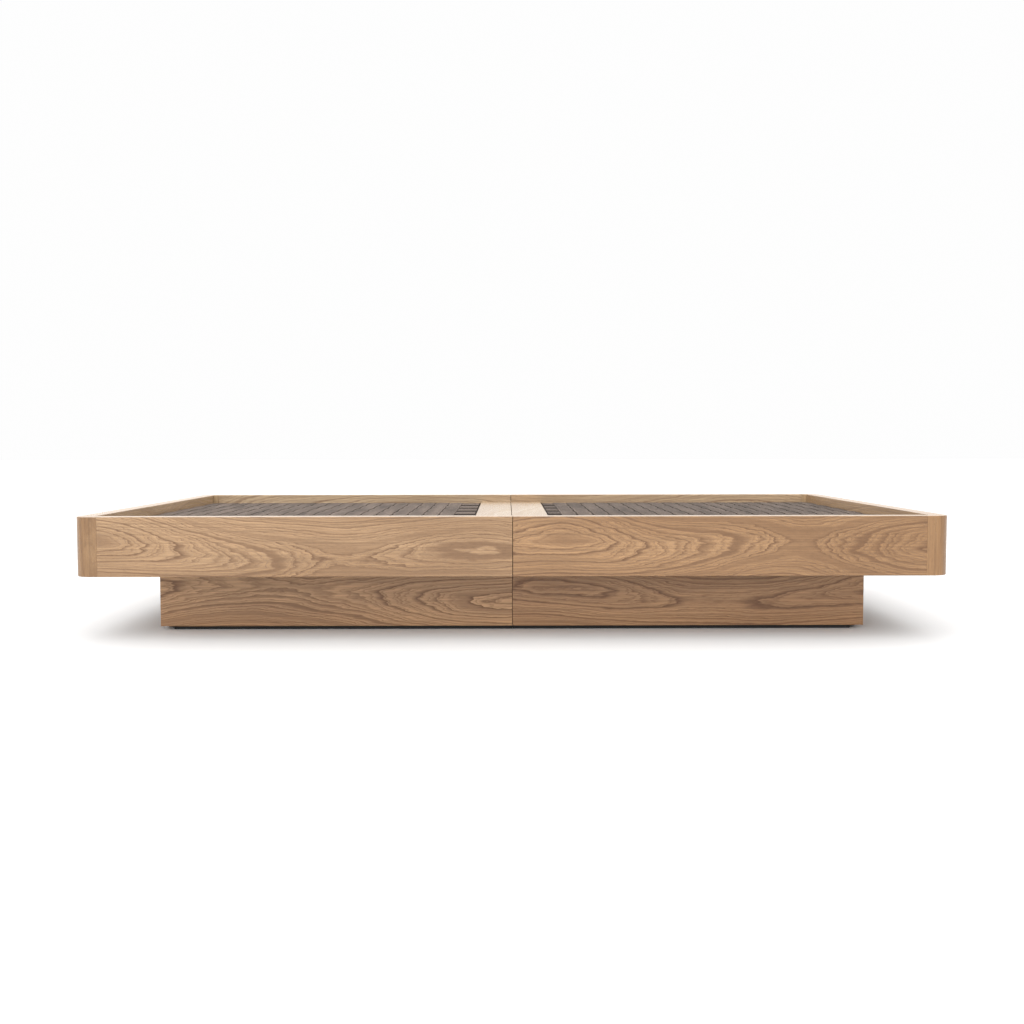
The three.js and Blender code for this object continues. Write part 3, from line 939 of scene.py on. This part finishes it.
metalLooks = {
    "zincSteel": {"bright": (0.55, 0.56, 0.58), "dull": (0.43, 0.44, 0.46), "roughness": 0.30},
    "oldBrass": {"bright": (0.62, 0.45, 0.20), "dull": (0.48, 0.33, 0.14), "roughness": 0.34},
}
turnedMetal = {
    "clouds": (120, 120, 120), "marks": (4000, 300, 300), "markDullness": 0.18,
    "bump": 0.2, "relief": 0.0002,
}


def metalMaterial(name):
    # cloudy plating, with fine turning marks round the fitting
    look = metalLooks[name]
    material, tree, shader, coordinates = newMaterial(name)
    clouds = stretchedNoise(tree, (-700, 200), coordinates["Object"], turnedMetal["clouds"], detail=4.0)
    marks = stretchedNoise(tree, (-700, -100), coordinates["Object"], turnedMetal["marks"], detail=3.0)
    tintStops = [(0.35, look["bright"]), (0.65, look["dull"])]
    tint = addRamp(tree, (-300, 200), clouds.outputs["Fac"], tintStops)
    tree.links.new(tint, shader.inputs["Base Color"])
    glossStops = [(0.3, look["roughness"]), (0.7, look["roughness"] + turnedMetal["markDullness"])]
    gloss = addRamp(tree, (-300, -100), marks.outputs["Fac"], glossStops)
    tree.links.new(gloss, shader.inputs["Roughness"])
    shader.inputs["Metallic"].default_value = 1.0
    addBump(tree, (-300, -400), marks.outputs["Fac"], shader, turnedMetal["bump"], turnedMetal["relief"])
    return material


zincSteel = metalMaterial("zincSteel")
oldBrass = metalMaterial("oldBrass")
for place in ("front", "rear"):
    dressNode(place + "_knob_screw", zincSteel)
    dressNode(place + "_insert_nut", oldBrass)
    low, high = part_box(place + "_dowel")
    centre = (low + high) / 2
    beech = oakMaterial(place + "DowelBeech", "batten", "alongRail", centre, (17, 0, 0), 0.3, 1.1)
    dressNode(place + "_dowel", beech)
print("fittings finished")


# Floor and studio light

studio = {
    "floorSize": 60.0, "floorColour": 0.785, "floorMottle": 0.01,
    "backdrop": 0.988,  # what the camera sees behind the bed
    "wallBack": 1.10, "wallFront": 0.42, "wallTurn": (-0.2, 0.5), "rightSide": -0.20,
    "overhead": 1.45,
    "frontPanel": 2.5, "frontPanelAim": (-0.10, -0.89, 0.45), "frontPanelSpread": 6.0,
}

bpy.ops.object.select_all(action="DESELECT")
bpy.ops.mesh.primitive_plane_add(size=studio["floorSize"], location=(0, 0, 0))
floor = bpy.context.object
floor.name = "studioFloor"
floorPaint, tree, shader, coordinates = newMaterial("floorPaint")
mottle = stretchedNoise(tree, (-700, 0), coordinates["Object"], (6, 6, 6), detail=5.0)
white = studio["floorColour"]
tint = addRamp(tree, (-300, 0), mottle.outputs["Fac"], [(0.3, white), (0.7, white + studio["floorMottle"])])
tree.links.new(tint, shader.inputs["Base Color"])
shader.inputs["Roughness"].default_value = 0.7
shader.inputs["Specular IOR Level"].default_value = 0.2
floor.data.materials.append(floorPaint)

# The room is one soft sky: white walls, a ceiling glow and a broad panel in front of the bed
world = bpy.data.worlds.new("studioSky")
scene.world = world
world.use_nodes = True
tree = world.node_tree
background = tree.nodes["Background"]
background.inputs["Color"].default_value = (1, 1, 1, 1)
coordinates = addNode(tree, "ShaderNodeTexCoord", (-1600, 0))
direction = addNode(tree, "ShaderNodeSeparateXYZ", (-1400, 0))
tree.links.new(coordinates.outputs["Generated"], direction.inputs[0])
frontEnd, backEnd = studio["wallTurn"]
back = addNode(
    tree, "ShaderNodeMapRange", (-1200, 200),
    {
        "From Min": frontEnd, "From Max": backEnd,
        "To Min": studio["wallFront"], "To Max": studio["wallBack"],
    },
    interpolation_type="SMOOTHSTEP",
)
tree.links.new(direction.outputs["Y"], back.inputs["Value"])
sideways = mathNode(tree, "MULTIPLY", (-1200, -100), direction.outputs["X"], studio["rightSide"])
up = mathNode(tree, "MAXIMUM", (-1300, -300), direction.outputs["Z"], 0.0)
up = mathNode(tree, "POWER", (-1200, -300), up, 2)
up = mathNode(tree, "MULTIPLY", (-1000, -300), up, studio["overhead"])
facing = addNode(tree, "ShaderNodeVectorMath", (-1200, -500), operation="DOT_PRODUCT")
tree.links.new(coordinates.outputs["Generated"], facing.inputs[0])
facing.inputs[1].default_value = Vector(studio["frontPanelAim"]).normalized()
panel = mathNode(tree, "MAXIMUM", (-1000, -500), facing.outputs["Value"], 0.0)
panel = mathNode(tree, "POWER", (-840, -500), panel, studio["frontPanelSpread"])
panel = mathNode(tree, "MULTIPLY", (-680, -500), panel, studio["frontPanel"])
walls = mathNode(tree, "ADD", (-680, 0), back.outputs["Result"], sideways)
above = mathNode(tree, "ADD", (-680, -200), up, panel)
glow = mathNode(tree, "ADD", (-520, 0), walls, above)
rays = addNode(tree, "ShaderNodeLightPath", (-520, 300))
strength = addNode(tree, "ShaderNodeMix", (-300, 0), data_type="FLOAT")
strength.inputs[3].default_value = studio["backdrop"]
tree.links.new(rays.outputs["Is Camera Ray"], strength.inputs[0])
tree.links.new(glow, strength.inputs[2])
tree.links.new(strength.outputs[0], background.inputs["Strength"])
print("studio set")
